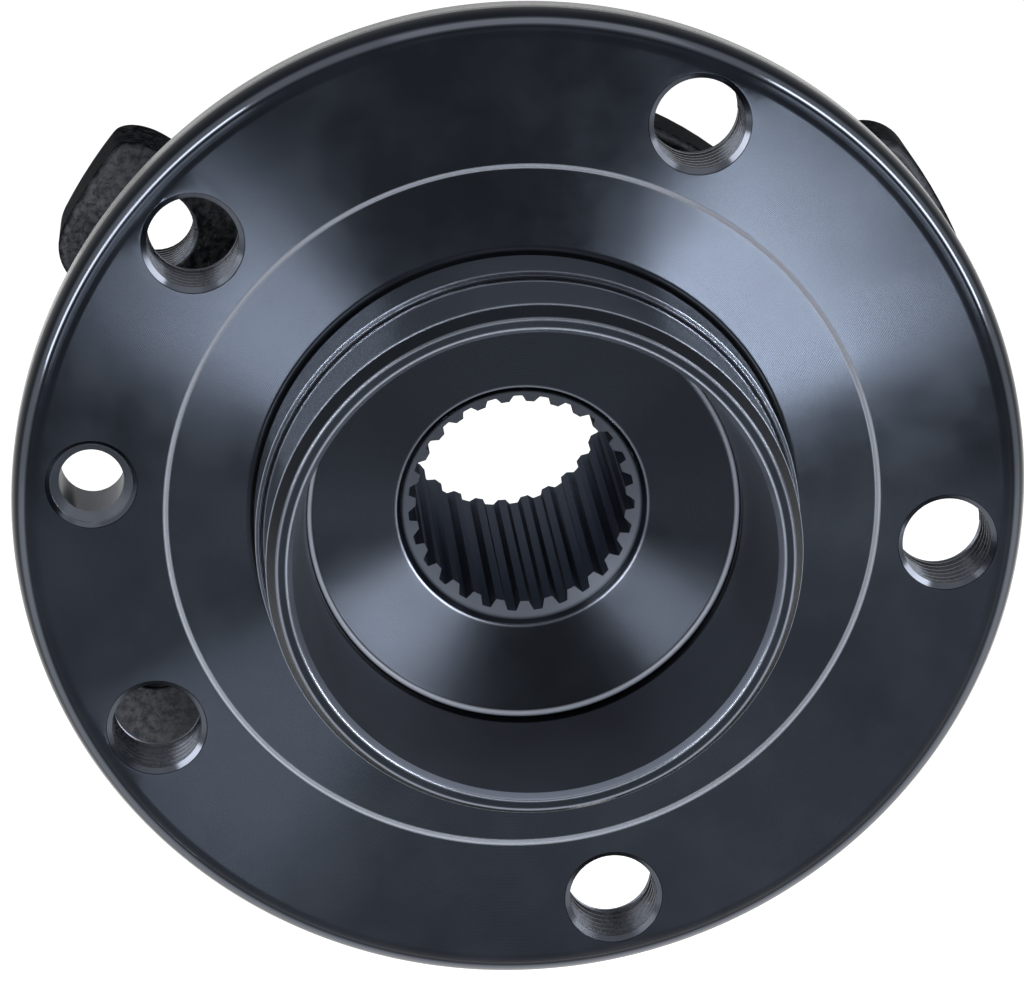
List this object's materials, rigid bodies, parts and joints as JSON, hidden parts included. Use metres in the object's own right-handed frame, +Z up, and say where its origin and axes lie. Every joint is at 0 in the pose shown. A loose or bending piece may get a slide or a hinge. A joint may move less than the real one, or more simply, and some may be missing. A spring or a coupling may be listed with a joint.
{
  "type": "wheel hub bearing",
  "caption": "Driven wheel hub bearing unit: round flange with tapped wheel-bolt holes, pilot cup and splined bore, turning on ball rows in a lug-mounted outer ring.",
  "frame": {"origin": "on the spin axis, in the plane of the flange face that the brake disc seats on", "axes": "-Y points out of the wheel side along the spin axis, +Y towards the axle, +Z up and +X to the right as seen from the wheel side"},
  "size_m": [0.142, 0.0825, 0.142],
  "materials": {
    "coated_forging": "glossy blue-black coating over turned steel",
    "phosphated_forging": "dark grey phosphate, matt and slightly rough",
    "bearing_steel": "ground bearing steel",
    "ball_steel": "polished steel balls",
    "cage_polymer": "glass-filled polyamide",
    "seal_sheet": "pressed sheet steel",
    "seal_rubber": "black nitrile rubber",
    "encoder_rubber": "magnetised rubber, brown-black"
  },
  "bodies": {
    "outer": {"outer_ring": "phosphated_forging", "seal_case_outboard": "seal_sheet", "seal_lip_outboard": "seal_rubber", "seal_case_inboard": "seal_sheet", "seal_lip_inboard": "seal_rubber"},
    "hub": {"hub_flange": "coated_forging", "inner_ring": "bearing_steel", "slinger_inboard": "seal_sheet", "encoder_ring": "encoder_rubber"},
    "row_outboard": {"cage_outboard": "cage_polymer", "ball_outboard_01": "ball_steel", "ball_outboard_02": "ball_steel", "ball_outboard_03": "ball_steel", "ball_outboard_04": "ball_steel", "ball_outboard_05": "ball_steel", "ball_outboard_06": "ball_steel", "ball_outboard_07": "ball_steel", "ball_outboard_08": "ball_steel", "ball_outboard_09": "ball_steel", "ball_outboard_10": "ball_steel", "ball_outboard_11": "ball_steel", "ball_outboard_12": "ball_steel", "ball_outboard_13": "ball_steel", "ball_outboard_14": "ball_steel"},
    "row_inboard": {"cage_inboard": "cage_polymer", "ball_inboard_01": "ball_steel", "ball_inboard_02": "ball_steel", "ball_inboard_03": "ball_steel", "ball_inboard_04": "ball_steel", "ball_inboard_05": "ball_steel", "ball_inboard_06": "ball_steel", "ball_inboard_07": "ball_steel", "ball_inboard_08": "ball_steel", "ball_inboard_09": "ball_steel", "ball_inboard_10": "ball_steel", "ball_inboard_11": "ball_steel", "ball_inboard_12": "ball_steel", "ball_inboard_13": "ball_steel", "ball_inboard_14": "ball_steel"}
  },
  "joints": [
    {"name": "hub_spin", "type": "hinge", "parent": "outer", "child": "hub", "pos_m": [0, 0, 0], "axis": [0, 1, 0], "continuous": true},
    {"name": "row_outboard_spin", "type": "hinge", "parent": "outer", "child": "row_outboard", "pos_m": [0, 0.0276, 0], "axis": [0, 1, 0], "continuous": true},
    {"name": "row_inboard_spin", "type": "hinge", "parent": "outer", "child": "row_inboard", "pos_m": [0, 0.0428, 0], "axis": [0, 1, 0], "continuous": true}
  ],
  "couplings": [
    {"joint": "row_outboard_spin", "follows": "hub_spin", "ratio": 0.4284},
    {"joint": "row_inboard_spin", "follows": "hub_spin", "ratio": 0.4284}
  ]
}
